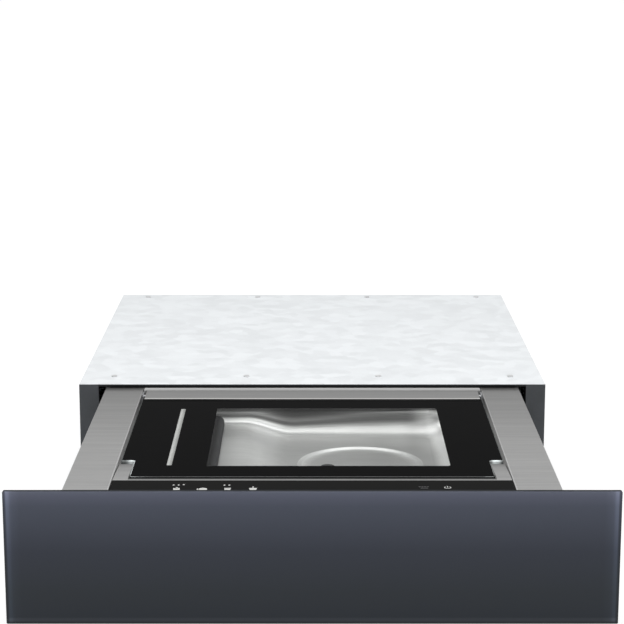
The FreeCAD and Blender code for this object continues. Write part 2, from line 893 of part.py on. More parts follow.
def tube_path(points, radii):
    # Straight runs joined by tangent arcs.
    spots = [Vector(*p) for p in points]
    edges = []
    start = spots[0]
    for index in range(1, len(spots) - 1):
        corner = spots[index]
        back = (spots[index - 1] - corner).normalize()
        ahead = (spots[index + 1] - corner).normalize()
        half = back.getAngle(ahead) / 2
        reach = radii[index - 1] / math.tan(half)
        first = corner + back * reach
        last = corner + ahead * reach
        bisector = (back + ahead).normalize()
        middle = corner + bisector * (radii[index - 1] / math.sin(half) - radii[index - 1])
        edges.append(Part.LineSegment(start, first).toShape())
        edges.append(Part.Arc(first, middle, last).toShape())
        start = last
    edges.append(Part.LineSegment(start, spots[-1]).toShape())
    return Part.Wire(edges)


def suction_hose():
    # From the stem under the chamber port, down and back to the pump head.
    y_port = drawer_y(port_back)
    y_pump = drawer_y(motor_back - 44)
    points = [
        (port_x, y_port, 68),
        (port_x, y_port, 36),
        (24, y_port + 70, 30),
        (head_port_x, y_pump - 70, head_port_height),
        (head_port_x, y_pump, head_port_height),
    ]
    radii = [22, 50, 50]
    path = tube_path(points, radii)
    radius = 5.5
    profile = Part.Wire(Part.makeCircle(radius, Vector(*points[0]), Vector(0, 0, 1)))
    hose = path.makePipeShell([profile], True, False)
    inner = Part.Wire(Part.makeCircle(3.2, Vector(*points[0]), Vector(0, 0, 1)))
    bore = path.makePipeShell([inner], True, False)
    return hose.cut(bore)


def build_casing():
    save("casing_base", casing_base())
    save_pair("casing_wall", casing_wall_right())
    save("casing_rear", casing_rear())
    save("casing_top", casing_top())
    save_pair("front_flange", front_flange_right())
    save("top_lip", top_lip())
    save("mains_inlet", mains_inlet())
    save("runner_brackets", runner_brackets())
    save_pair("runner_outer", runner_outer_right())
    save("latch_body", latch_body())
    save("latch_plunger", latch_plunger())
    save("casing_screws", casing_screws())


def build_runners():
    save_pair("runner_middle", runner_middle_right())
    save_pair("ball_cage", ball_cage_right())
    save_pair("runner_inner", runner_inner_right())


def build_drawer():
    save("front_glass", front_glass())
    save("front_carrier", front_carrier())
    save("front_buffers", front_buffers())
    save("drawer_floor", drawer_floor())
    save_pair("drawer_wall", drawer_wall_right())
    save("drawer_rear", drawer_rear())
    save_pair("side_trim", side_trim_right())
    save("control_housing", control_housing())
    save("control_glass", control_glass())
    save("control_board", control_board())
    save("front_bar", front_bar())
    save("rear_cover", rear_cover())


def build_chamber():
    save("chamber_bowl", chamber_bowl())
    save("port_cap", port_cap())
    save("seal_bar_carrier", seal_bar_carrier())
    save("seal_bar", seal_bar())
    save("heater_wires", heater_wires())
    save("lift_pistons", lift_pistons())
    save("lift_cylinders", lift_cylinders())


def build_lid():
    save("lid_glass", lid_glass())
    save("lid_mask", lid_mask())
    save("lid_seal", lid_seal())
    save("counter_bar", counter_bar())
    save("hinge_bar", hinge_bar())
    save("hinge_pins", hinge_pins())
    save("hinge_brackets", hinge_brackets())
    save("hinge_springs", hinge_springs())


def build_works():
    save("motor_case", motor_case())
    save("pump_mounts", pump_mounts())
    save("pump_head", pump_head())
    save("pump_rotor", pump_rotor())
    save("fan_housing", fan_housing())
    save("fan_rotor", fan_rotor())
    save("transformer", transformer())
    save("power_board", power_board())
    save("valve_block", valve_block())
    save("suction_hose", suction_hose())


os.makedirs("parts", exist_ok=True)
build_casing()
build_runners()
build_drawer()
build_chamber()
build_lid()
build_works()
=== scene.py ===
import math

import bpy
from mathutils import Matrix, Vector


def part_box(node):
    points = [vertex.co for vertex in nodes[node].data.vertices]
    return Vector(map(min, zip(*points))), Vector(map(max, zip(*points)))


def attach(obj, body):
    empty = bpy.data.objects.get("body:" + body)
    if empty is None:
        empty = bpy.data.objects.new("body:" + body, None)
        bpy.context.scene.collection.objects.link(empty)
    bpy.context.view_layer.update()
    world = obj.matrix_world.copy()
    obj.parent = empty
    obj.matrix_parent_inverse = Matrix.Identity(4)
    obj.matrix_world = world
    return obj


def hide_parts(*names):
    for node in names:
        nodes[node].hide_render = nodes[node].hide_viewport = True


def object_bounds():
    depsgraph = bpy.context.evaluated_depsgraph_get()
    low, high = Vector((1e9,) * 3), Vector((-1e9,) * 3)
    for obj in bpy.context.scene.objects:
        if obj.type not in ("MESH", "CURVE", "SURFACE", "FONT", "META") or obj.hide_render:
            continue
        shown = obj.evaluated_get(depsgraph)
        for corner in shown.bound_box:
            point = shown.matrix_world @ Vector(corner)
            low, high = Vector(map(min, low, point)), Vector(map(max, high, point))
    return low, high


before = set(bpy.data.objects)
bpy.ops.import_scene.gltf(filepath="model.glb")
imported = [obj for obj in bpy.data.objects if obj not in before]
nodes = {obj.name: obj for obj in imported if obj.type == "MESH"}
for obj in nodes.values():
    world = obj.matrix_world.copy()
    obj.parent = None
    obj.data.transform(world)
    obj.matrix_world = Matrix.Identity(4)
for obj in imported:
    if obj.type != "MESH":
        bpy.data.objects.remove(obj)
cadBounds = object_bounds()


def nodeSpan(name, axis):
    # Lowest and highest place of a CAD node along an axis, in metres.
    low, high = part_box(name)
    return round(low[axis], 4), round(high[axis], 4)


# The drawer's own places are given in millimetres behind the face of its front glass.
frontFace = nodeSpan("front_glass", 1)[0]
deckTop = nodeSpan("control_glass", 2)[1]


def drawerY(back):
    return back / 1000.0 + frontFace


def nodeOutline(name):
    # Left, right, front and back of a CAD node, in the drawer's millimetres.
    left, right = nodeSpan(name, 0)
    front, back = nodeSpan(name, 1)
    return tuple(round(1000.0 * place, 3) for place in (left, right, front - frontFace, back - frontFace))


# Camera: a long lens straight ahead of the drawer, looking down on it

cameraSettings = {
    "lens": 107.76,
    "sensor": 36.0,
    "place": (-0.0003, -2.1602, 0.6727),
    "pitch": 12.0,
    "farthest": 100.0,
}


def setCamera(settings):
    bpy.ops.object.camera_add(location=settings["place"])
    camera = bpy.context.object
    camera.name = "mainCamera"
    camera.rotation_euler = (math.radians(90.0 - settings["pitch"]), 0.0, 0.0)
    camera.data.lens = settings["lens"]
    camera.data.sensor_width = settings["sensor"]
    camera.data.clip_end = settings["farthest"]
    bpy.context.scene.camera = camera
    print("camera:", settings["pitch"], "degrees down")


# Small helpers for node materials

# Most of a noise lies between these, so this part of it covers the whole range of a finish.
noiseLow = 0.3
noiseHigh = 0.7


def startMaterial(name):
    material = bpy.data.materials.new(name)
    material.use_nodes = True
    tree = material.node_tree
    tree.nodes.clear()
    output = tree.nodes.new("ShaderNodeOutputMaterial")
    shader = tree.nodes.new("ShaderNodeBsdfPrincipled")
    tree.links.new(shader.outputs["BSDF"], output.inputs["Surface"])
    return material, tree, shader


def useShader(tree, result):
    # Puts another shader on the surface in place of the first one.
    output = next(node for node in tree.nodes if node.type == "OUTPUT_MATERIAL")
    tree.links.new(result, output.inputs["Surface"])


def plug(tree, given, socket):
    # Sets a socket to a plain value, or links another node's output to it.
    if isinstance(given, (int, float, tuple)):
        socket.default_value = given
    else:
        tree.links.new(given, socket)


def setSockets(tree, shader, values):
    for name, given in values.items():
        plug(tree, given, shader.inputs[name])


def srgb(red, green, blue):
    shades = []
    for value in (red, green, blue):
        part = value / 255.0
        shades.append(part / 12.92 if part <= 0.04045 else ((part + 0.055) / 1.055) ** 2.4)
    return (shades[0], shades[1], shades[2], 1.0)


def tones(dark, light, **rest):
    # Settings of a finish that varies between two colours.
    return dict(rest, dark=srgb(*dark), light=srgb(*light))


def objectPoint(tree, scale=(1.0, 1.0, 1.0)):
    place = tree.nodes.new("ShaderNodeTexCoord")
    mapping = tree.nodes.new("ShaderNodeMapping")
    mapping.inputs["Scale"].default_value = scale
    tree.links.new(place.outputs["Object"], mapping.inputs["Vector"])
    return mapping.outputs["Vector"]


def axes(tree):
    # The x, y and z of a point of the piece.
    place = tree.nodes.new("ShaderNodeTexCoord")
    split = tree.nodes.new("ShaderNodeSeparateXYZ")
    tree.links.new(place.outputs["Object"], split.inputs[0])
    return split.outputs


def noise(tree, point, scale, detail=3.0, roughness=0.55):
    texture = tree.nodes.new("ShaderNodeTexNoise")
    setSockets(tree, texture, {"Scale": scale, "Detail": detail, "Roughness": roughness, "Vector": point})
    return texture.outputs["Fac"]


def spread(tree, value, low, high, outLow, outHigh):
    # Turns the range from low to high into the one from outLow to outHigh.
    remap = tree.nodes.new("ShaderNodeMapRange")
    limits = {"From Min": low, "From Max": high, "To Min": outLow, "To Max": outHigh, "Value": value}
    setSockets(tree, remap, limits)
    return remap.outputs["Result"]


def spreadNoise(tree, value, limits):
    return spread(tree, value, noiseLow, noiseHigh, *limits)


def maths(tree, kind, first, second=None):
    node = tree.nodes.new("ShaderNodeMath")
    node.operation = kind
    for index, given in enumerate((first, second)):
        if given is not None:
            plug(tree, given, node.inputs[index])
    return node.outputs[0]


def mixValues(tree, first, second, share):
    # The given share of the first value, and the rest of the second.
    part = maths(tree, "MULTIPLY", first, share)
    return maths(tree, "ADD", part, maths(tree, "MULTIPLY", second, 1.0 - share))


def mixColours(tree, value, first, second, blend="MIX"):
    # A colour Mix node has its colours on sockets 6 and 7, and its result on output 2.
    mix = tree.nodes.new("ShaderNodeMix")
    mix.data_type = "RGBA"
    mix.blend_type = blend
    for socket, given in ((0, value), (6, first), (7, second)):
        plug(tree, given, mix.inputs[socket])
    return mix.outputs[2]


def mixShaders(tree, value, first, second):
    mix = tree.nodes.new("ShaderNodeMixShader")
    for socket, given in enumerate((value, first, second)):
        plug(tree, given, mix.inputs[socket])
    return mix.outputs[0]


def noiseTone(tree, value, settings):
    return mixColours(tree, spreadNoise(tree, value, (0.0, 1.0)), settings["dark"], settings["light"])


def addBump(tree, shader, height, strength, depth):
    bump = tree.nodes.new("ShaderNodeBump")
    setSockets(tree, bump, {"Strength": strength, "Distance": depth, "Height": height})
    tree.links.new(bump.outputs["Normal"], shader.inputs["Normal"])


def colourRamp(tree, value, stops):
    # stops lists (place from 0 to 1, colour) with places rising.
    ramp = tree.nodes.new("ShaderNodeValToRGB")
    points = ramp.color_ramp.elements
    for index, (place, colour) in enumerate(stops):
        if index == 0:
            point = points[0]
        elif index == len(stops) - 1:
            point = points[len(points) - 1]
        else:
            point = points.new(place)
        point.position = place
        point.color = colour
    tree.links.new(value, ramp.inputs[0])
    return ramp.outputs[0]


def timesColour(tree, tone, value):
    # Makes a colour lighter or darker by a grey value.
    grey = tree.nodes.new("ShaderNodeCombineColor")
    for socket in grey.inputs:
        tree.links.new(value, socket)
    return mixColours(tree, 1.0, tone, grey.outputs[0], "MULTIPLY")


def shadeBy(tree, tone, value, steps):
    # Paints light and shade on a colour, lighter or darker along a value; steps lists (value, factor) with
    # values rising.
    low = steps[0][0]
    high = steps[-1][0]
    top = max(factor for place, factor in steps)
    stops = []
    for place, factor in steps:
        shade = factor / top
        stops.append(((place - low) / (high - low), (shade, shade, shade, 1.0)))
    split = tree.nodes.new("ShaderNodeSeparateColor")
    tree.links.new(colourRamp(tree, spread(tree, value, low, high, 0.0, 1.0), stops), split.inputs[0])
    return timesColour(tree, tone, maths(tree, "MULTIPLY", split.outputs[0], top))


def shadeAlong(tree, tone, shades):
    # Painted light and shade along axes of the piece; shades lists (axis, [(place, factor), ...]) with
    # places rising.
    for axis, steps in shades:
        tone = shadeBy(tree, tone, axes(tree)[axis], steps)
    return tone


def shadeFold(tree, tone, fold):
    # The folded inner edge of a trim: painted shade down its face, and a painted highlight along its bend.
    place = axes(tree)
    side = maths(tree, "ABSOLUTE", place[0])
    face = maths(tree, "LESS_THAN", place[2], fold["level"])
    face = maths(tree, "MULTIPLY", face, maths(tree, "LESS_THAN", side, fold["face"]))
    bend = maths(tree, "LESS_THAN", side, fold["bend"])
    lift = maths(tree, "ADD", 1.0, maths(tree, "MULTIPLY", bend, fold["lift"]))
    drop = maths(tree, "SUBTRACT", 1.0, maths(tree, "MULTIPLY", face, fold["drop"]))
    return timesColour(tree, tone, maths(tree, "MULTIPLY", lift, drop))


def insideBox(tree, place, bounds, radius):
    # 1 inside a box of x and y with round corners, 0 outside.
    left, right, near, far = bounds
    squares = []
    for value, low, high in ((place[0], left, right), (place[1], near, far)):
        away = maths(tree, "ABSOLUTE", maths(tree, "SUBTRACT", value, (low + high) / 2))
        over = maths(tree, "SUBTRACT", away, (high - low) / 2 - radius)
        over = maths(tree, "MAXIMUM", over, 0.0)
        squares.append(maths(tree, "MULTIPLY", over, over))
    reach = maths(tree, "SQRT", maths(tree, "ADD", squares[0], squares[1]))
    return maths(tree, "LESS_THAN", reach, radius)


# Brushed steel: fine streaks along the grain, mixed with broad ones, and the painted light and shade of
# each piece

trimSettings = {
    "along": (3.0, 260.0, 260.0),
    "grain": 4.0,
    "broadScale": 0.25,
    "broadGrain": 1.2,
    "fineShare": 0.8,
    "dark": srgb(156, 156, 156),
    "light": srgb(192, 192, 191),
    "rough": (0.30, 0.42),
    "bump": 0.10,
    "bumpDepth": 0.0002,
    "metal": 0.85,
    # Painted shade: the steel grows darker from the front of the drawer towards its back.
    "shades": [(1, [
        (drawerY(15), 1.24), (drawerY(200), 1.12), (drawerY(320), 0.90), (drawerY(405), 0.76),
        (drawerY(531), 0.70),
    ])],
}
sideTrimSettings = dict(
    trimSettings,
    # Painted highlight along the bend of the inner fold, and painted shade down its face.
    fold={"level": 0.1202, "face": 0.2012, "bend": 0.2016, "lift": 0.40, "drop": 0.05},
)
frontBarSettings = dict(
    trimSettings,
    # A painted shadow: a dark line for the shaded gap between the control glass and the bar's front edge.
    gap={"place": (-0.1845, 0.1845, drawerY(70.5), drawerY(75)), "corner": 0.0002, "shade": 0.12},
    # Painted highlight along the bar's front edge, and painted shade towards the lid.
    shades=[(1, [
        (drawerY(66), 0.74), (drawerY(68), 0.86), (drawerY(70), 1.35), (drawerY(76), 1.12),
        (drawerY(100), 1.12), (drawerY(120), 1.0), (drawerY(139), 0.66),
    ])],
)
hingeBarSettings = dict(
    trimSettings,
    # Painted shade on the bar's front face, a painted highlight along its front edge, and painted shade
    # behind it.
    shades=[(1, [
        (drawerY(384.95), 0.12), (drawerY(385.15), 0.4), (drawerY(386.2), 0.7), (drawerY(386.5), 2.0),
        (drawerY(389.3), 2.0), (drawerY(390.0), 0.82), (drawerY(420), 0.80), (drawerY(427), 0.70),
    ])],
)
coverSettings = dict(
    trimSettings,
    # Lighter than the trim steel, as painted light; painted lighter towards the casing, with a painted
    # shadow under the casing's lip.
    metal=0.35,
    dark=srgb(196, 196, 196),
    light=srgb(222, 222, 221),
    shades=[(1, [
        (drawerY(427), 0.58), (drawerY(433), 0.80), (drawerY(438), 1.05), (drawerY(439.8), 1.0),
        (drawerY(440.8), 0.25), (drawerY(532), 0.3),
    ])],
)
bowlSettings = dict(
    trimSettings,
    along=(5.0, 220.0, 220.0),
    dark=srgb(206, 206, 205),
    light=srgb(228, 228, 227),
    rough=(0.30, 0.38),
    bump=0.012,
    metal=0.8,
    # Painted light and shade across the chamber from left to right, and painted lighter towards its back.
    shades=[
        (0, [
            (-0.166, 0.72), (-0.098, 0.78), (-0.0845, 0.99), (-0.071, 1.10), (-0.058, 1.28), (-0.045, 1.20),
            (-0.032, 0.96), (-0.018, 0.92), (-0.005, 0.91), (0.022, 0.90), (0.050, 0.84), (0.080, 0.77),
            (0.104, 0.80), (0.1175, 0.69), (0.131, 0.69), (0.145, 0.88), (0.166, 0.92),
        ]),
        (1, [(drawerY(230), 0.86), (drawerY(253), 0.95), (drawerY(285), 1.04), (drawerY(325), 1.27)]),
    ],
    # Painted light and shade of the walls, fillets and recess edge, kept on each vertex.
    vertexShade="shade",
)


def brushedMetal(name, settings):
    material, tree, shader = startMaterial(name)
    along = settings["along"]
    broadAlong = tuple(settings["broadScale"] * scale for scale in along)
    fine = noise(tree, objectPoint(tree, along), settings["grain"], detail=4.0, roughness=0.6)
    broad = noise(tree, objectPoint(tree, broadAlong), settings["broadGrain"], detail=2.0, roughness=0.5)
    tone = noiseTone(tree, mixValues(tree, fine, broad, settings["fineShare"]), settings)
    # Painted light and shade: along the piece, on a trim's fold, in a gap, and kept on each vertex.
    tone = shadeAlong(tree, tone, settings["shades"])
    if "fold" in settings:
        tone = shadeFold(tree, tone, settings["fold"])
    if "gap" in settings:
        gap = settings["gap"]
        inside = insideBox(tree, axes(tree), gap["place"], gap["corner"])
        tone = timesColour(tree, tone, spread(tree, inside, 0.0, 1.0, 1.0, gap["shade"]))
    if "vertexShade" in settings:
        own = tree.nodes.new("ShaderNodeAttribute")
        own.attribute_name = settings["vertexShade"]
        tone = timesColour(tree, tone, own.outputs["Fac"])
    rough = spreadNoise(tree, fine, settings["rough"])
    setSockets(tree, shader, {"Base Color": tone, "Metallic": settings["metal"], "Roughness": rough})
    addBump(tree, shader, fine, settings["bump"], settings["bumpDepth"])
    return material


# Plain metals: a cloudy surface with a much finer grain in its bump

metalGrain = {"finer": 12.0, "bumpDepth": 0.0001}


def plainMetal(name, settings):
    material, tree, shader = startMaterial(name)
    point = objectPoint(tree)
    cloud = noise(tree, point, settings["grain"], detail=5.0, roughness=0.6)
    setSockets(tree, shader, {
        "Base Color": noiseTone(tree, cloud, settings),
        "Metallic": settings.get("metal", 1.0),
        "Roughness": spreadNoise(tree, cloud, settings["rough"]),
    })
    grain = noise(tree, point, settings["grain"] * metalGrain["finer"], detail=2.0)
    addBump(tree, shader, grain, settings["bump"], metalGrain["bumpDepth"])
    return material


# Plastics, paint and rubber: a fine grain over soft clouds, and painted light and shade on some pieces

plasticGrain = {"cloud": 40.0, "specular": 0.4, "bumpDepth": 0.0001}

carrierSettings = tones(
    (38, 38, 39), (44, 44, 45), grain=600.0, rough=(0.5, 0.6), bump=0.12, specular=0.0,
    # Painted shade over most of the carrier, and a painted highlight towards its right edge.
    shades=[(0, [
        (-0.160, 0.4), (-0.1165, 0.3), (-0.113, 0.42), (-0.108, 0.62), (-0.1045, 1.6), (-0.1025, 2.4),
    ])],
)
counterSettings = tones(
    (176, 176, 174), (190, 190, 188), grain=600.0, rough=(0.55, 0.7), bump=0.1,
    # Painted light: lighter at its left side, and painted shade towards its right.
    shades=[(0, [
        (-0.1530, 0.2), (-0.1512, 0.68), (-0.1500, 0.86), (-0.1485, 0.66), (-0.1465, 0.46),
        (-0.1450, 0.30), (-0.1430, 0.10),
    ])],
)
lipSettings = tones(
    (58, 61, 64), (66, 69, 73), grain=700.0, rough=(0.42, 0.55), bump=0.12, specular=0.2,
    # Painted shade over the whole lip, and a painted shadow along its lower edge.
    shades=[(2, [(0.1225, 0.08), (0.1236, 0.10), (0.1240, 0.55), (0.1250, 0.60)])],
)


def dressPlastic(name, settings):
    material, tree, shader = startMaterial(name)
    point = objectPoint(tree)
    tone = noiseTone(tree, noise(tree, point, plasticGrain["cloud"]), settings)
    grain = noise(tree, point, settings["grain"], detail=2.0)
    # Painted light and shade along the piece, where its settings list shades.
    setSockets(tree, shader, {
        "Base Color": shadeAlong(tree, tone, settings.get("shades", [])),
        "Roughness": spreadNoise(tree, grain, settings["rough"]),
        "Specular IOR Level": settings.get("specular", plasticGrain["specular"]),
    })
    addBump(tree, shader, grain, settings["bump"], plasticGrain["bumpDepth"])
    return material


# Galvanised sheet: crystals of zinc, each with its own tone

zincSettings = tones(
    (208, 211, 213), (222, 225, 227),
    cell=60.0, grain=180.0, cellShare=0.6, metal=0.15, rough=(0.42, 0.58), bump=0.05, bumpDepth=0.0002,
)


def zincSheet(name, settings):
    material, tree, shader = startMaterial(name)
    point = objectPoint(tree)
    cells = tree.nodes.new("ShaderNodeTexVoronoi")
    setSockets(tree, cells, {"Scale": settings["cell"], "Vector": point})
    split = tree.nodes.new("ShaderNodeSeparateColor")
    tree.links.new(cells.outputs["Color"], split.inputs[0])
    grain = noise(tree, point, settings["grain"])
    both = mixValues(tree, split.outputs[0], grain, settings["cellShare"])
    setSockets(tree, shader, {
        "Base Color": mixColours(tree, both, settings["dark"], settings["light"]),
        "Metallic": settings["metal"],
        "Roughness": spread(tree, both, 0.2, 0.8, *settings["rough"]),
    })
    addBump(tree, shader, grain, settings["bump"], settings["bumpDepth"])
    return material


# Front glass: lacquer behind satin glass, with painted light: paler towards the top, and painted highlights
# in a band at each side and near the bottom edge

frontSettings = {
    "height": nodeSpan("front_glass", 2),
    # Painted light: paler towards the top, with a painted highlight band just above the bottom edge.
    "stops": (
        (0.0, srgb(20, 23, 28)), (0.016, srgb(22, 26, 31)), (0.022, srgb(44, 49, 56)),
        (0.040, srgb(43, 48, 55)), (0.052, srgb(28, 34, 42)), (0.24, srgb(30, 36, 43)),
        (0.55, srgb(39, 44, 55)), (0.89, srgb(62, 67, 80)), (0.96, srgb(75, 79, 94)),
        (1.0, srgb(84, 88, 102)),
    ),
    # Painted highlights in a band near each side, darker at the very edge.
    "sides": (
        (0.2820, 1.0), (0.2885, 1.20), (0.2910, 1.40), (0.2928, 1.95), (0.2950, 2.15),
        (0.2957, 1.4), (0.2963, 0.75), (0.2985, 0.55),
    ),
    "rim": srgb(24, 27, 32),
    "rimThick": 0.0001,
    "specular": 0.3,
    "rimSpecular": 0.05,
    "grain": 900.0,
    "rough": (0.34, 0.40),
    "bump": 0.03,
    "bumpDepth": 0.00005,
}


def frontGlass(name, settings):
    material, tree, shader = startMaterial(name)
    place = axes(tree)
    low, high = settings["height"]
    # Painted light down the glass, and painted highlights near its sides.
    tone = colourRamp(tree, spread(tree, place[2], low, high, 0.0, 1.0), settings["stops"])
    tone = shadeBy(tree, tone, maths(tree, "ABSOLUTE", place[0]), settings["sides"])
    rim = maths(tree, "GREATER_THAN", place[2], high - settings["rimThick"])
    grain = noise(tree, objectPoint(tree), settings["grain"], detail=2.0)
    setSockets(tree, shader, {
        "Base Color": mixColours(tree, rim, tone, settings["rim"]),
        "Specular IOR Level": spread(tree, rim, 0.0, 1.0, settings["specular"], settings["rimSpecular"]),
        "Roughness": spreadNoise(tree, grain, settings["rough"]),
    })
    addBump(tree, shader, grain, settings["bump"], settings["bumpDepth"])
    return material


# Lid glass: clear, printed black on top except for the window and the slit, with painted highlights and
# shade on its polished edge

lidSettings = {
    "height": nodeSpan("lid_glass", 2),
    "skin": 0.0001,
    "window": (-0.1085, 0.1417, drawerY(120.0), drawerY(348.2)),
    "windowCorner": 0.003,
    "slit": (-0.1496, -0.1444, drawerY(122.3), drawerY(345.0)),
    "slitCorner": 0.0015,
    "print": (0.0042, 0.0042, 0.0042, 1.0),
    "printPale": (0.0050, 0.0050, 0.0052, 1.0),
    "printRough": (0.06, 0.11),
    "printIor": 1.02,
    "dust": 60.0,
    "clear": (0.965, 0.975, 0.970, 1.0),
    "gloss": (1.0, 1.0, 1.0, 1.0),
    "glossRough": 0.04,
    "glossShare": 0.02,
    # The edge's painted light: highlights on the polished edge and along a front line, and painted shade on
    # the rest of the front edge.
    "edgeHighlight": srgb(126, 130, 130),
    "frontLimit": drawerY(90.0),
    "frontHighlight": srgb(88, 90, 90),
    "frontLineHigh": 0.0004,
    "frontEdgeShade": srgb(22, 23, 23),
    "frontMetal": 0.0,
    "edgeMetal": 0.4,
    "edgeSpecular": 0.5,
    "edgeStretch": (1.0, 1.0, 8.0),
    "edgeGrain": 500.0,
    "edgeRough": (0.12, 0.25),
    # Painted highlights on the edges at the notches and at the front corners.
    "edgeShades": [(0, [
        (-0.1970, 0.8), (-0.1940, 0.6), (-0.1915, 1.2), (-0.1875, 4.2), (-0.1850, 3.0), (-0.1820, 6.5),
        (-0.1790, 6.0), (-0.1755, 2.6), (-0.1640, 1.4), (-0.1500, 1.2), (0.1700, 1.3), (0.1800, 5.0),
        (0.1835, 1.2), (0.1850, 1.4), (0.1885, 4.6), (0.1930, 3.6), (0.1960, 1.2), (0.1975, 0.8),
    ])],
}


def clearPart(tree, settings):
    glass = tree.nodes.new("ShaderNodeBsdfTransparent")
    setSockets(tree, glass, {"Color": settings["clear"]})
    gloss = tree.nodes.new("ShaderNodeBsdfGlossy")
    setSockets(tree, gloss, {"Color": settings["gloss"], "Roughness": settings["glossRough"]})
    return mixShaders(tree, settings["glossShare"], glass.outputs[0], gloss.outputs[0])


def edgeWithPaintedLight(tree, place, settings):
    # Painted light: along the front only a thin painted highlight under the top face shines, and the rest
    # of the edge is painted dark as shade.
    edge = tree.nodes.new("ShaderNodeBsdfPrincipled")
    lineBase = settings["height"][1] - settings["frontLineHigh"]
    front = maths(tree, "LESS_THAN", place[1], settings["frontLimit"])
    dark = maths(tree, "MULTIPLY", front, maths(tree, "LESS_THAN", place[2], lineBase))
    tone = mixColours(tree, front, settings["edgeHighlight"], settings["frontHighlight"])
    tone = shadeAlong(tree, tone, settings["edgeShades"])
    grain = noise(tree, objectPoint(tree, settings["edgeStretch"]), settings["edgeGrain"], detail=2.0)
    setSockets(tree, edge, {
        "Base Color": mixColours(tree, dark, tone, settings["frontEdgeShade"]),
        "Metallic": spread(tree, front, 0.0, 1.0, settings["edgeMetal"], settings["frontMetal"]),
        "Specular IOR Level": spread(tree, dark, 0.0, 1.0, settings["edgeSpecular"], 0.0),
        "Roughness": spreadNoise(tree, grain, settings["edgeRough"]),
    })
    return edge.outputs[0]


def lidGlass(name, settings):
    material, tree, printed = startMaterial(name)
    place = axes(tree)
    base, top = settings["height"]
    window = insideBox(tree, place, settings["window"], settings["windowCorner"])
    slit = insideBox(tree, place, settings["slit"], settings["slitCorner"])
    underTop = maths(tree, "LESS_THAN", place[2], top - settings["skin"])
    aboveBase = maths(tree, "GREATER_THAN", place[2], base + settings["skin"])
    clear = maths(tree, "MAXIMUM", maths(tree, "MAXIMUM", window, slit), underTop)
    onEdge = maths(tree, "MULTIPLY", underTop, aboveBase)
    dust = noise(tree, objectPoint(tree), settings["dust"], detail=4.0)
    setSockets(tree, printed, {
        "Base Color": mixColours(tree, dust, settings["print"], settings["printPale"]),
        "Roughness": spreadNoise(tree, dust, settings["printRough"]),
        "IOR": settings["printIor"],
    })
    faces = mixShaders(tree, clear, printed.outputs[0], clearPart(tree, settings))
    useShader(tree, mixShaders(tree, onEdge, faces, edgeWithPaintedLight(tree, place, settings)))
    return material


# Black glass and black mask

maskSettings = tones((16, 16, 16), (20, 20, 20), dust=60.0, rough=(0.2, 0.3), ior=1.2)
controlSettings = {
    "dark": (0.0068, 0.0068, 0.0066, 1.0),
    "light": (0.0082, 0.0082, 0.0080, 1.0),
    "dust": 60.0,
    "rough": (0.08, 0.12),
    "ior": 1.03,
}


def glossBlack(name, settings):
    material, tree, shader = startMaterial(name)
    dust = noise(tree, objectPoint(tree), settings["dust"], detail=4.0)
    setSockets(tree, shader, {
        "Base Color": mixColours(tree, dust, settings["dark"], settings["light"]),
        "Roughness": spreadNoise(tree, dust, settings["rough"]),
        "IOR": settings["ior"],
    })
    return material


# Circuit boards: green lacquer over faint copper tracks

boardSettings = {
    "tracks": 160.0,
    "gap": 0.03,
    "colours": (srgb(20, 84, 52), srgb(26, 96, 60), srgb(92, 128, 70)),
    "grain": 300.0,
    "rough": (0.3, 0.42),
}


def boardGreen(name, settings):
    material, tree, shader = startMaterial(name)
    point = objectPoint(tree)
    first, second, track = settings["colours"]
    bricks = tree.nodes.new("ShaderNodeTexBrick")
    setSockets(tree, bricks, {
        "Scale": settings["tracks"], "Mortar Size": settings["gap"],
        "Color1": first, "Color2": second, "Mortar": track, "Vector": point,
    })
    rough = spreadNoise(tree, noise(tree, point, settings["grain"], detail=2.0), settings["rough"])
    setSockets(tree, shader, {"Base Color": bricks.outputs["Color"], "Roughness": rough})
    return material


# Wound copper of the transformer

coilSettings = tones(
    (120, 62, 34), (206, 124, 76), turns=420.0, waver=0.6, metal=1.0, rough=(0.45, 0.28), bump=0.4,
    bumpDepth=0.0003,
)


def woundCopper(name, settings):
    material, tree, shader = startMaterial(name)
    wave = tree.nodes.new("ShaderNodeTexWave")
    wave.bands_direction = "Z"
    point = objectPoint(tree)
    setSockets(tree, wave, {"Scale": settings["turns"], "Distortion": settings["waver"], "Vector": point})
    turn = wave.outputs["Fac"]
    setSockets(tree, shader, {
        "Base Color": mixColours(tree, turn, settings["dark"], settings["light"]),
        "Metallic": settings["metal"],
        "Roughness": spread(tree, turn, 0.0, 1.0, *settings["rough"]),
    })
    addBump(tree, shader, turn, settings["bump"], settings["bumpDepth"])
    return material


# Which finish each material slot has, and which CAD nodes are made of it

metalSlots = {
    "carrier_steel": tones(
        (60, 62, 66), (78, 80, 84), grain=30.0, rough=(0.5, 0.6), bump=0.1, metal=0.3,
    ),
    "tub_steel": tones((168, 170, 172), (192, 194, 196), grain=20.0, rough=(0.35, 0.5), bump=0.08),
    "runner_steel": tones((190, 192, 196), (214, 216, 220), grain=60.0, rough=(0.25, 0.35), bump=0.05),
    "screw_steel": tones(
        (196, 197, 198), (220, 220, 220), grain=80.0, rough=(0.4, 0.5), bump=0.05, metal=0.5,
    ),
    "spring_steel": tones((120, 122, 126), (160, 162, 166), grain=80.0, rough=(0.28, 0.38), bump=0.05),
    "motor_steel": tones((150, 152, 156), (176, 178, 182), grain=40.0, rough=(0.35, 0.45), bump=0.08),
    "rotor_steel": tones((186, 187, 190), (216, 217, 220), grain=60.0, rough=(0.2, 0.3), bump=0.05),
    "heater_wire": tones((170, 160, 146), (200, 190, 176), grain=90.0, rough=(0.3, 0.4), bump=0.05),
    "pump_aluminium": tones((176, 178, 180), (204, 206, 208), grain=90.0, rough=(0.45, 0.6), bump=0.35),
    "bar_aluminium": tones((200, 201, 203), (220, 221, 223), grain=60.0, rough=(0.3, 0.42), bump=0.08),
}
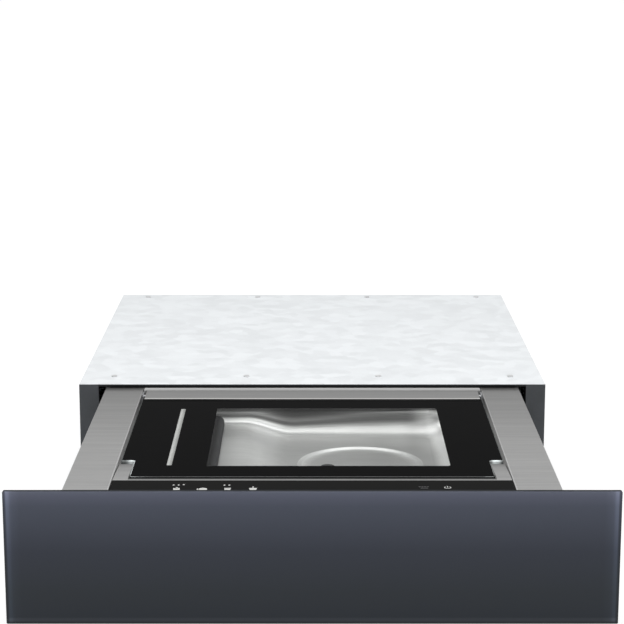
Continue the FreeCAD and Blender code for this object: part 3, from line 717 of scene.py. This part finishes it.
plasticSlots = {
    "frame_paint": tones((58, 61, 64), (66, 69, 73), grain=700.0, rough=(0.42, 0.55), bump=0.12),
    "inlet_plastic": tones((20, 20, 21), (30, 30, 31), grain=500.0, rough=(0.4, 0.5), bump=0.1),
    "latch_plastic": tones((196, 197, 196), (214, 215, 212), grain=500.0, rough=(0.4, 0.5), bump=0.1),
    "black_plastic": tones(
        (15, 15, 16), (24, 24, 25), grain=600.0, rough=(0.42, 0.55), bump=0.15, specular=0.3,
    ),
    "fan_plastic": tones((30, 31, 33), (42, 43, 45), grain=400.0, rough=(0.4, 0.55), bump=0.1),
    "buffer_rubber": tones(
        (60, 60, 62), (76, 76, 78), grain=800.0, rough=(0.75, 0.9), bump=0.2, specular=0.2,
    ),
    "seal_rubber": tones(
        (42, 42, 44), (54, 54, 56), grain=800.0, rough=(0.7, 0.85), bump=0.2, specular=0.2,
    ),
    "saddle_rubber": tones(
        (34, 34, 36), (46, 46, 48), grain=700.0, rough=(0.75, 0.9), bump=0.2, specular=0.2,
    ),
    "hose_rubber": tones(
        (48, 48, 50), (60, 60, 62), grain=700.0, rough=(0.6, 0.75), bump=0.2, specular=0.3,
    ),
    "silicone_grey": tones((150, 150, 148), (168, 168, 166), grain=600.0, rough=(0.55, 0.7), bump=0.1),
}
slotLooks = {
    "front_glass": (frontGlass, frontSettings),
    "clear_glass": (lidGlass, lidSettings),
    "control_glass": (glossBlack, controlSettings),
    "mask_black": (glossBlack, maskSettings),
    "trim_steel": (brushedMetal, trimSettings),
    "bowl_steel": (brushedMetal, trimSettings),
    "zinc_sheet": (zincSheet, zincSettings),
    "board_green": (boardGreen, boardSettings),
    "coil_copper": (woundCopper, coilSettings),
}
slotLooks.update((slot, (plainMetal, settings)) for slot, settings in metalSlots.items())
slotLooks.update((slot, (dressPlastic, settings)) for slot, settings in plasticSlots.items())

slotNodes = {
    "front_glass": "front_glass",
    "carrier_steel": "front_carrier",
    "buffer_rubber": "front_buffers",
    "zinc_sheet": "casing_base casing_wall_left casing_wall_right casing_rear casing_top",
    "frame_paint": "front_flange_left front_flange_right top_lip",
    "inlet_plastic": "mains_inlet",
    "runner_steel": "runner_brackets runner_outer_left runner_outer_right runner_middle_left"
                    " runner_middle_right runner_inner_left runner_inner_right hinge_brackets",
    "latch_plastic": "latch_body latch_plunger",
    "screw_steel": "casing_screws ball_cage_left ball_cage_right",
    "tub_steel": "drawer_floor drawer_wall_left drawer_wall_right drawer_rear",
    "trim_steel": "side_trim_left side_trim_right front_bar rear_cover hinge_bar",
    "control_glass": "control_glass",
    "board_green": "control_board power_board",
    "bowl_steel": "chamber_bowl",
    "black_plastic": "control_housing port_cap seal_bar_carrier lift_cylinders",
    "bar_aluminium": "seal_bar",
    "heater_wire": "heater_wires",
    "clear_glass": "lid_glass",
    "mask_black": "lid_mask",
    "seal_rubber": "lid_seal",
    "silicone_grey": "counter_bar",
    "spring_steel": "hinge_springs",
    "motor_steel": "motor_case",
    "pump_aluminium": "pump_head valve_block",
    "saddle_rubber": "pump_mounts",
    "rotor_steel": "lift_pistons hinge_pins pump_rotor",
    "fan_plastic": "fan_housing fan_rotor",
    "coil_copper": "transformer",
    "hose_rubber": "suction_hose",
}

# Nodes that are brushed or given painted light and shade each in their own way, though their slot is
# shared.
ownLooks = {
    "side_trim": ("side_trim_left side_trim_right", brushedMetal, sideTrimSettings),
    "front_bar": ("front_bar", brushedMetal, frontBarSettings),
    "hinge_bar": ("hinge_bar", brushedMetal, hingeBarSettings),
    "rear_cover": ("rear_cover", brushedMetal, coverSettings),
    "seal_bar_carrier": ("seal_bar_carrier", dressPlastic, carrierSettings),
    "counter_bar": ("counter_bar", dressPlastic, counterSettings),
    "top_lip": ("top_lip", dressPlastic, lipSettings),
}

# The lid lets the studio light through to the chamber under it.
openToLight = ("lid_glass", "lid_mask", "lid_seal", "counter_bar")


def coverNodes(names, look):
    for name in names.split():
        nodes[name].data.materials.clear()
        nodes[name].data.materials.append(look)


def dressNodes():
    for name in openToLight:
        nodes[name].visible_shadow = False
        nodes[name].visible_glossy = False
        nodes[name].visible_diffuse = False
    for slot, names in slotNodes.items():
        dress, settings = slotLooks[slot]
        coverNodes(names, dress("mat_" + slot, settings))
    for look, (names, dress, settings) in ownLooks.items():
        coverNodes(names, dress("mat_" + look, settings))
    print("materials on CAD nodes:", len(slotNodes) + len(ownLooks))


# Building helpers

def selectOnly(piece):
    bpy.ops.object.select_all(action="DESELECT")
    piece.select_set(True)
    bpy.context.view_layer.objects.active = piece


def namePiece(piece, name):
    piece.name = name
    piece.data.name = name


def newGrid(name, columns, rows, place):
    # A flat sheet whose corners are then put in place one by one:
    # place(i, j) gives the point in metres for column i of 0..columns and row j of 0..rows.
    bpy.ops.object.select_all(action="DESELECT")
    bpy.ops.mesh.primitive_grid_add(x_subdivisions=columns, y_subdivisions=rows, size=1.0)
    sheet = bpy.context.object
    namePiece(sheet, name)
    for vertex in sheet.data.vertices:
        i = round((vertex.co.x + 0.5) * columns)
        j = round((vertex.co.y + 0.5) * rows)
        vertex.co = place(i, j)
    return sheet


def tidyMesh(piece, gap=0.00001):
    selectOnly(piece)
    bpy.ops.object.mode_set(mode="EDIT")
    bpy.ops.mesh.select_all(action="SELECT")
    bpy.ops.mesh.remove_doubles(threshold=gap)
    bpy.ops.mesh.normals_make_consistent(inside=False)
    bpy.ops.object.mode_set(mode="OBJECT")


def flipMesh(piece):
    selectOnly(piece)
    bpy.ops.object.mode_set(mode="EDIT")
    bpy.ops.mesh.select_all(action="SELECT")
    bpy.ops.mesh.flip_normals()
    bpy.ops.object.mode_set(mode="OBJECT")


def addWall(piece, thickness, offset):
    wall = piece.modifiers.new("wall", "SOLIDIFY")
    wall.thickness = thickness
    wall.offset = offset
    selectOnly(piece)
    bpy.ops.object.modifier_apply(modifier=wall.name)


def smoothBy(piece, angle):
    selectOnly(piece)
    bpy.ops.object.shade_smooth_by_angle(angle=math.radians(angle))


def easeStep(value, low, high):
    # Rises gently from 0 at low to 1 at high.
    share = min(1.0, max(0.0, (value - low) / (high - low)))
    return share * share * (3.0 - 2.0 * share)


def roundedOutline(bounds, radius, sideSteps, cornerSteps):
    # Points and outward normals round a rectangle with round corners, from the back of its right side on.
    left, right, front, back = bounds
    centres = []
    for x, y in ((right, back), (left, back), (left, front), (right, front)):
        centreX = x - math.copysign(radius, x - (left + right) / 2)
        centreY = y - math.copysign(radius, y - (front + back) / 2)
        centres.append((centreX, centreY))
    spots = []
    for index, (centreX, centreY) in enumerate(centres):
        afterX, afterY = centres[(index + 1) % len(centres)]
        for step in range(cornerSteps):
            angle = math.radians(90.0 * index + 90.0 * step / cornerSteps)
            normal = (math.cos(angle), math.sin(angle))
            spots.append((centreX + radius * normal[0], centreY + radius * normal[1], normal))
        angle = math.radians(90.0 * (index + 1))
        normal = (round(math.cos(angle), 6), round(math.sin(angle), 6))
        for step in range(sideSteps):
            share = step / sideSteps
            sideX = centreX + (afterX - centreX) * share
            sideY = centreY + (afterY - centreY) * share
            spots.append((sideX + radius * normal[0], sideY + radius * normal[1], normal))
    return spots


# Vacuum chamber: one pressed skin from the plate, over the lip and down the wall, to a shelf, a ramp,
# a deep floor and a round recess. Sizes are in the drawer's millimetres.

chamberSettings = {
    "plate": nodeOutline("chamber_bowl"),
    "plateCorner": 2.0,
    # Painted shade of the plate round the mouth, under the lid.
    "plateShade": 0.4,
    "top": 1000.0 * nodeSpan("chamber_bowl", 2)[1],
    "mouth": (-166.0, 166.0, 102.0, 390.0),
    "corner": 34.0,
    "lip": 2.5,
    "draft": 2.0,
    "shelf": 92.6,
    "deep": 80.0,
    "ramp": (-80.0, -24.0),
    "floorCorner": 12.0,
    "frontRadius": 16.0,
    "leftRadius": 14.0,
    "rightRadius": 30.0,
    # The rear fillet grows from the first radius to the second between these two places of x.
    "rearRadius": (9.0, 24.0),
    "rearGrowth": (-110.0, 110.0),
    "recess": (53.0, 261.5),
    "recessRadius": 67.2,
    "recessDepth": 2.5,
    "recessBlend": 5.0,
    # Painted highlight on the recess's soft edge, at its front and back, and at its left and right.
    "ringShade": (1.12, 1.45),
    "skin": 1.0,
    "smooth": 40.0,
    "sideSteps": 96,
    "cornerSteps": 22,
    "lipRows": 5,
    "wallRows": 3,
    "filletRows": 14,
    "floorRows": 34,
    "blendRows": 10,
    "middleRows": 6,
    # Painted light and shade: turn from wall to floor in degrees, shade of the long walls, shade of the
    # right rear corner.
    "wallShades": (
        (-30.0, 0.05, 0.16), (-20.0, 0.06, 0.45), (-10.0, 0.11, 0.76), (0.0, 0.28, 0.74), (8.0, 0.35, 1.40),
        (15.0, 0.13, 0.57), (22.0, 0.09, 0.57), (30.0, 0.35, 0.98), (36.0, 1.12, 1.16), (46.0, 1.03, 1.20),
        (60.0, 1.21, 1.60), (74.0, 1.34, 1.36), (90.0, 1.0, 0.88),
    ),
    # The walls' painted shade turns into the corner's between these two places of x.
    "cornerSpan": (108.0, 142.0),
}


def wallShade(settings, x, turn):
    # How much painted light a spot of the wall or its fillet has.
    corner = easeStep(x, *settings["cornerSpan"])
    steps = settings["wallShades"]
    for (low, wallLow, cornerLow), (high, wallHigh, cornerHigh) in zip(steps, steps[1:]):
        if turn <= high:
            share = (turn - low) / (high - low)
            wall = wallLow + (wallHigh - wallLow) * share
            bend = cornerLow + (cornerHigh - cornerLow) * share
            return wall + (bend - wall) * corner
    return 1.0


def floorHeight(settings, x):
    drop = settings["shelf"] - settings["deep"]
    return settings["shelf"] - drop * easeStep(x, *settings["ramp"])


def floorOutline(settings):
    # Where the fillets meet the floor.
    left, right, front, back = settings["mouth"]
    draft = settings["draft"]
    bounds = (
        left + draft + settings["leftRadius"], right - draft - settings["rightRadius"],
        front + draft + settings["frontRadius"], back - draft - settings["frontRadius"],
    )
    steps = (settings["sideSteps"], settings["cornerSteps"])
    narrow, wide = settings["rearRadius"]
    spots = []
    for x, y, normal in roundedOutline(bounds, settings["floorCorner"], *steps):
        if normal[1] > 0.0:
            radius = narrow + (wide - narrow) * easeStep(x, *settings["rearGrowth"])
            y += normal[1] * (settings["frontRadius"] - radius)
        spots.append((x, y))
    return spots


# Each spot of the skin is (x, back, height, shade), its shade being painted light and shade.

def lipSpots(settings, x, y, normal, shade):
    lip = settings["lip"]
    spots = []
    for row in range(settings["lipRows"] + 1):
        angle = math.pi / 2 * row / settings["lipRows"]
        out = lip * (1.0 - math.sin(angle))
        height = settings["top"] - lip * (1.0 - math.cos(angle))
        spots.append((x + normal[0] * out, y + normal[1] * out, height, shade))
    return spots


def wallSpots(settings, x, y, normal, wallTop, wallLow):
    start = settings["wallShades"][0][0]
    spots = []
    for row in range(1, settings["wallRows"] + 1):
        share = row / settings["wallRows"]
        inward = settings["draft"] * share
        height = wallTop + (wallLow - wallTop) * share
        shade = wallShade(settings, x, start - start * share)
        spots.append((x - normal[0] * inward, y - normal[1] * inward, height, shade))
    return spots


def filletSpots(settings, wallX, wallY, wallLow, edgeX, edgeY):
    spots = []
    for row in range(1, settings["filletRows"] + 1):
        angle = math.pi / 2 * row / settings["filletRows"]
        share = 1.0 - math.cos(angle)
        x = wallX + (edgeX - wallX) * share
        low = floorHeight(settings, x)
        height = low + (wallLow - low) * (1.0 - math.sin(angle))
        shade = wallShade(settings, x, math.degrees(angle))
        spots.append((x, wallY + (edgeY - wallY) * share, height, shade))
    return spots


def floorSpots(settings, edgeX, edgeY):
    # From the floor's edge in to the middle of the recess.
    centreX, centreY = settings["recess"]
    awayX = edgeX - centreX
    awayY = edgeY - centreY
    reach = math.hypot(awayX, awayY)
    outer = settings["recessRadius"] + settings["recessBlend"] / 2
    inner = settings["recessRadius"] - settings["recessBlend"] / 2
    depth = settings["recessDepth"]
    # Painted highlight on the recess's edge, stronger at its left and right.
    ends, flanks = settings["ringShade"]
    ring = ends + (flanks - ends) * abs(awayX) / reach
    steps = []
    for row in range(1, settings["floorRows"] + 1):
        share = row / settings["floorRows"]
        steps.append((reach + (outer - reach) * share, 0.0, 1.0))
    for row in range(1, settings["blendRows"] + 1):
        share = row / settings["blendRows"]
        steps.append((outer + (inner - outer) * share, depth * easeStep(share, 0.0, 1.0), ring))
    for row in range(1, settings["middleRows"] + 1):
        steps.append((inner * (1.0 - row / settings["middleRows"]), depth, 1.0))
    spots = []
    for distance, sunk, shade in steps:
        x = centreX + awayX / reach * distance
        spots.append((x, centreY + awayY / reach * distance, floorHeight(settings, x) - sunk, shade))
    return spots


def chamberColumn(settings, mouthSpot, plateSpot, edgeSpot):
    # From the plate's edge over the mouth's lip and down to the middle of the recess.
    x, y, normal = mouthSpot
    edgeX, edgeY = edgeSpot
    wallX = x - normal[0] * settings["draft"]
    wallY = y - normal[1] * settings["draft"]
    radius = math.hypot(edgeX - wallX, edgeY - wallY)
    wallTop = settings["top"] - settings["lip"]
    wallLow = min(wallTop - 1.0, floorHeight(settings, edgeX) + radius)
    # Painted shade of the lip round the mouth.
    rim = wallShade(settings, x, settings["wallShades"][0][0])
    column = [(plateSpot[0], plateSpot[1], settings["top"], settings["plateShade"])]
    column += lipSpots(settings, x, y, normal, rim)
    column += wallSpots(settings, x, y, normal, wallTop, wallLow)
    column += filletSpots(settings, wallX, wallY, wallLow, edgeX, edgeY)
    column += floorSpots(settings, edgeX, edgeY)
    return column


def buildChamber(settings):
    steps = (settings["sideSteps"], settings["cornerSteps"])
    mouth = roundedOutline(settings["mouth"], settings["corner"], *steps)
    plate = roundedOutline(settings["plate"], settings["plateCorner"], *steps)
    columns = []
    for mouthSpot, plateSpot, edgeSpot in zip(mouth, plate, floorOutline(settings)):
        columns.append(chamberColumn(settings, mouthSpot, plateSpot, edgeSpot))
    count = len(columns)
    rows = len(columns[0]) - 1
    shades = []

    def place(i, j):
        x, back, height, shade = columns[i % count][rows - j]
        shades.append(shade)
        return Vector((x / 1000.0, drawerY(back), height / 1000.0))

    bowl = newGrid("chamberBowl", count, rows, place)
    # Each vertex keeps its painted light and shade.
    own = bowl.data.attributes.new("shade", "FLOAT", "POINT")
    own.data.foreach_set("value", shades)
    tidyMesh(bowl)
    topFace = max(bowl.data.polygons, key=lambda face: face.center.z)
    if topFace.normal.z < 0:
        flipMesh(bowl)
    addWall(bowl, settings["skin"] / 1000.0, -1.0)
    smoothBy(bowl, settings["smooth"])
    bowl.data.materials.append(brushedMetal("mat_chamber", bowlSettings))
    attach(bowl, "drawer")
    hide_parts("chamber_bowl")
    print("vacuum chamber:", len(bowl.data.polygons), "faces")


# Printed signs on the control glass: dots and simple pictures of what each key does

signSettings = {
    "thick": 0.00006,
    "white": srgb(184, 184, 182),
    "faint": srgb(84, 84, 86),
    "darker": 0.92,
    "grain": 2500.0,
    "rough": 0.5,
    # Outlines are (x, back) spots, bars are (left, right, front, back), all in millimetres.
    "dots": ((-137.2, 51.9), (-132.2, 51.9), (-127.3, 53.0), (-86.9, 51.6), (-82.1, 51.6)),
    "dotRadius": (0.95, 1.7),
    "bag": ((-136.4, 31.6), (-129.9, 31.6), (-130.6, 42.4), (-133.0, 40.6), (-134.4, 40.6), (-136.9, 42.4)),
    "bagNeck": (-134.5, -132.4, 42.0, 44.6),
    "fish": (-107.6, 38.1, 4.3, 4.4),
    "fishTail": ((-113.4, 35.4), (-110.8, 38.1), (-113.4, 40.8)),
    "jar": ((-85.8, 31.6), (-80.8, 31.6), (-80.2, 40.6), (-86.6, 40.6)),
    "jarLid": (-86.9, -79.9, 41.2, 42.4),
    "bowl": ((-60.8, 31.6), (-55.6, 31.6), (-54.4, 42.2), (-62.3, 42.2)),
    "bowlStem": (-58.9, -57.9, 42.2, 47.2),
    # Middle, radius, line width, start and end of the open ring of the power sign.
    "powerRing": (133.4, 43.6, 3.1, 0.8, 120.0, 420.0),
    "powerBar": (133.0, 133.8, 43.6, 48.2),
    "faintDash": (105.0, 107.0, 45.4, 46.6),
    "faintDashes": 4,
    "faintPitch": 2.6,
    "faintBar": (106.6, 114.0, 41.0, 42.0),
}


def ovalSpots(x, back, halfX, halfBack, steps):
    spots = []
    for k in range(steps):
        angle = 2 * math.pi * k / steps
        spots.append((x + halfX * math.cos(angle), back + halfBack * math.sin(angle)))
    return spots


def ringSpots(x, back, radius, width, start, end, steps=24):
    outer = []
    inner = []
    for k in range(steps + 1):
        angle = math.radians(start + (end - start) * k / steps)
        for line, reach in ((outer, radius + width / 2), (inner, radius - width / 2)):
            line.append((x + reach * math.cos(angle), back + reach * math.sin(angle)))
    return outer + inner[::-1]


def barSpots(left, right, front, back):
    return [(left, front), (right, front), (right, back), (left, back)]


def whiteSigns(settings):
    outlines = [ovalSpots(x, back, *settings["dotRadius"], 16) for x, back in settings["dots"]]
    outlines += [settings["bag"], barSpots(*settings["bagNeck"])]
    outlines += [ovalSpots(*settings["fish"], 24), settings["fishTail"]]
    outlines += [settings["jar"], barSpots(*settings["jarLid"])]
    outlines += [settings["bowl"], barSpots(*settings["bowlStem"])]
    outlines += [ringSpots(*settings["powerRing"]), barSpots(*settings["powerBar"])]
    return outlines


def faintSigns(settings):
    left, right, front, back = settings["faintDash"]
    outlines = []
    for k in range(settings["faintDashes"]):
        shift = settings["faintPitch"] * k
        outlines.append(barSpots(left + shift, right + shift, front, back))
    outlines.append(barSpots(*settings["faintBar"]))
    return outlines


def flatShape(name, spots, level):
    # A closed flat outline, filled.
    bpy.ops.object.select_all(action="DESELECT")
    bpy.ops.mesh.primitive_circle_add(vertices=len(spots), radius=0.01, fill_type="NGON")
    shape = bpy.context.object
    namePiece(shape, name)
    for vertex, (x, back) in zip(shape.data.vertices, spots):
        vertex.co = (x / 1000.0, drawerY(back), level)
    return shape


def signMaterial(name, colour, settings):
    material, tree, shader = startMaterial(name)
    grain = noise(tree, objectPoint(tree), settings["grain"], detail=2.0)
    darker = tuple(settings["darker"] * part for part in colour[:3]) + (1.0,)
    tone = noiseTone(tree, grain, {"dark": darker, "light": colour})
    setSockets(tree, shader, {"Base Color": tone, "Roughness": settings["rough"]})
    return material


def buildSigns(settings):
    groups = (
        ("signs", whiteSigns(settings), settings["white"]),
        ("faintSigns", faintSigns(settings), settings["faint"]),
    )
    level = deckTop + settings["thick"] / 2
    for name, outlines, colour in groups:
        shapes = [flatShape(name + str(index), spots, level) for index, spots in enumerate(outlines)]
        selectOnly(shapes[0])
        for shape in shapes:
            shape.select_set(True)
        bpy.ops.object.join()
        sign = bpy.context.object
        namePiece(sign, name)
        addWall(sign, settings["thick"], 0.0)
        tidyMesh(sign, 0.000001)
        sign.data.materials.append(signMaterial("mat_" + name, colour, settings))
        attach(sign, "drawer")
        print("on the control glass:", name, len(outlines))


# Stage: eyes, glass and polished metal see a white floor that keeps the shadow of the object

floorSettings = {
    "size": 60.0,
    "gap": 0.0002,
    "colour": (0.80, 0.80, 0.80, 1.0),
    "rough": 0.9,
    "shadowColour": (0.30, 0.30, 0.30, 1.0),
    # How far from the middle in metres, and how strongly the floor glows there.
    "glow": ((0.4, 0.68), (1.6, 0.80), (4.0, 0.90)),
}


def addFloor(settings):
    height = round(cadBounds[0][2], 4) - settings["gap"]
    bpy.ops.mesh.primitive_plane_add(size=settings["size"], location=(0.0, 0.0, height))
    floor = bpy.context.object
    floor.name = "stageFloor"
    material, tree, shader = startMaterial("mat_floor")
    setSockets(tree, shader, {"Base Color": settings["colour"], "Roughness": settings["rough"]})
    shadow = tree.nodes.new("ShaderNodeBsdfDiffuse")
    shadow.inputs["Color"].default_value = settings["shadowColour"]
    place = tree.nodes.new("ShaderNodeTexCoord")
    length = tree.nodes.new("ShaderNodeVectorMath")
    length.operation = "LENGTH"
    tree.links.new(place.outputs["Object"], length.inputs[0])
    away = length.outputs["Value"]
    near, middle, far = settings["glow"]
    inner = spread(tree, away, near[0], middle[0], near[1], middle[1])
    outer = spread(tree, away, middle[0], far[0], 0.0, far[1] - middle[1])
    glow = tree.nodes.new("ShaderNodeEmission")
    tree.links.new(maths(tree, "ADD", inner, outer), glow.inputs["Strength"])
    white = tree.nodes.new("ShaderNodeAddShader")
    tree.links.new(shadow.outputs[0], white.inputs[0])
    tree.links.new(glow.outputs[0], white.inputs[1])
    path = tree.nodes.new("ShaderNodeLightPath")
    seen = maths(tree, "MAXIMUM", path.outputs["Is Camera Ray"], path.outputs["Is Transmission Ray"])
    seen = maths(tree, "MAXIMUM", seen, path.outputs["Is Glossy Ray"])
    useShader(tree, mixShaders(tree, seen, shader.outputs[0], white.outputs[0]))
    floor.data.materials.append(material)
    print("floor is set")


# The top lamp lights the piece, and the soft one above it is what polished steel reflects.

lampSettings = {
    "top": {"place": (0.0, -0.2, 2.6), "size": (3.2, 2.6), "power": 80.0, "gloss": False},
    "soft": {"place": (0.0, -0.2, 2.7), "size": (3.2, 2.6), "power": 20.0, "diffuse": False},
    "front": {"place": (0.0, -3.4, 1.7), "turn": (64.0, 0.0, 0.0), "size": (3.4, 1.8), "power": 24.0},
    "back": {"place": (0.0, 4.2, 1.75), "turn": (-72.0, 0.0, 0.0), "size": (5.0, 1.6), "power": 7.0},
    "left": {"place": (-2.6, -0.6, 1.5), "turn": (0.0, -60.0, 0.0), "size": (2.2, 1.6), "power": 14.0},
    "right": {"place": (2.6, -0.6, 1.5), "turn": (0.0, 60.0, 0.0), "size": (2.2, 1.6), "power": 14.0},
}
worldSettings = {
    "colour": (1.0, 1.0, 1.0, 1.0),
    "light": 0.35,
    "seen": 1.0,
}


def addLamps(settings):
    for name, lamp in settings.items():
        turn = tuple(math.radians(angle) for angle in lamp.get("turn", (0.0, 0.0, 0.0)))
        bpy.ops.object.light_add(type="AREA", location=lamp["place"], rotation=turn)
        light = bpy.context.object
        light.name = "lamp_" + name
        light.data.shape = "RECTANGLE"
        light.data.size = lamp["size"][0]
        light.data.size_y = lamp["size"][1]
        light.data.energy = lamp["power"]
        light.visible_glossy = lamp.get("gloss", True)
        light.visible_diffuse = lamp.get("diffuse", True)
    print("lamps:", len(settings))


def setWorld(settings):
    # Dim as a light, white where it is seen.
    world = bpy.data.worlds.new("studioWorld")
    bpy.context.scene.world = world
    world.use_nodes = True
    tree = world.node_tree
    back = tree.nodes["Background"]
    back.inputs["Color"].default_value = settings["colour"]
    path = tree.nodes.new("ShaderNodeLightPath")
    seen = maths(tree, "MAXIMUM", path.outputs["Is Camera Ray"], path.outputs["Is Transmission Ray"])
    strength = spread(tree, seen, 0.0, 1.0, settings["light"], settings["seen"])
    tree.links.new(strength, back.inputs["Strength"])
    print("world is set")


setCamera(cameraSettings)
dressNodes()
buildChamber(chamberSettings)
buildSigns(signSettings)
addFloor(floorSettings)
addLamps(lampSettings)
setWorld(worldSettings)
bpy.context.scene.view_settings.view_transform = "Standard"
